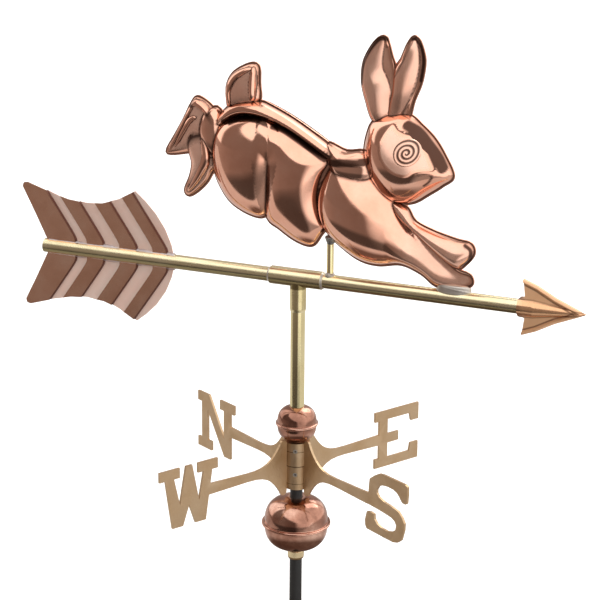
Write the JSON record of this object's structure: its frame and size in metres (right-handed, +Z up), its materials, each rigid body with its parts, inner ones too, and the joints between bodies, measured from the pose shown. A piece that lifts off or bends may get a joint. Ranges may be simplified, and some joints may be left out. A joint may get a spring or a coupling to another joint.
{
  "type": "weather vane",
  "caption": "Garden weather vane: a leaping copper rabbit on a brass arrow that turns on a steel rod, above copper globes and crossed brass compass bars.",
  "frame": {"origin": "centre of the mounting rod's lower end, where the rod bottoms in a socket", "axes": "+Z up the rod, which the vane turns about; +X is the way the arrow points at rest, and the E arm stands 61 degrees round from it towards +Y"},
  "size_m": [0.524, 0.2547, 0.6036],
  "materials": {
    "black_steel": "satin black powder coat",
    "turned_brass": "turned",
    "screw_steel": "dull steel",
    "copper": null,
    "cast_brass": "satin, fine sand-cast grain",
    "ball_steel": "ground and polished steel",
    "polished_brass": "polished drawn tube",
    "solder": null
  },
  "bodies": {
    "mast": {"mounting_rod": "black_steel", "set_collar": "turned_brass", "collar_set_screw": "screw_steel", "large_globe_lower": "copper", "large_globe_upper": "copper", "compass_bar_ew": "cast_brass", "compass_bar_ns": "cast_brass", "ew_set_screw": "screw_steel", "ns_set_screw": "screw_steel", "small_globe_lower": "copper", "small_globe_upper": "copper", "bearing_ball": "ball_steel"},
    "vane": {"spindle_tube": "polished_brass", "pivot_seat": "ball_steel", "tee_fitting": "polished_brass", "tee_solder_rear": "solder", "tee_solder_front": "solder", "arrow_tube_tail": "polished_brass", "arrow_tube_head": "polished_brass", "fletching_plate": "copper", "fletching_solder_top": "solder", "fletching_solder_bottom": "solder", "arrowhead_left_shell": "copper", "arrowhead_right_shell": "copper", "support_post": "polished_brass", "post_lower_solder": "solder", "post_upper_solder": "solder", "paw_solder": "solder", "rabbit_left_shell": "copper", "rabbit_right_shell": "copper"}
  },
  "joints": [
    {"name": "vane_spin", "type": "hinge", "parent": "mast", "child": "vane", "pos_m": [0, 0, 0.384], "axis": [0, 0, 1], "continuous": true}
  ]
}
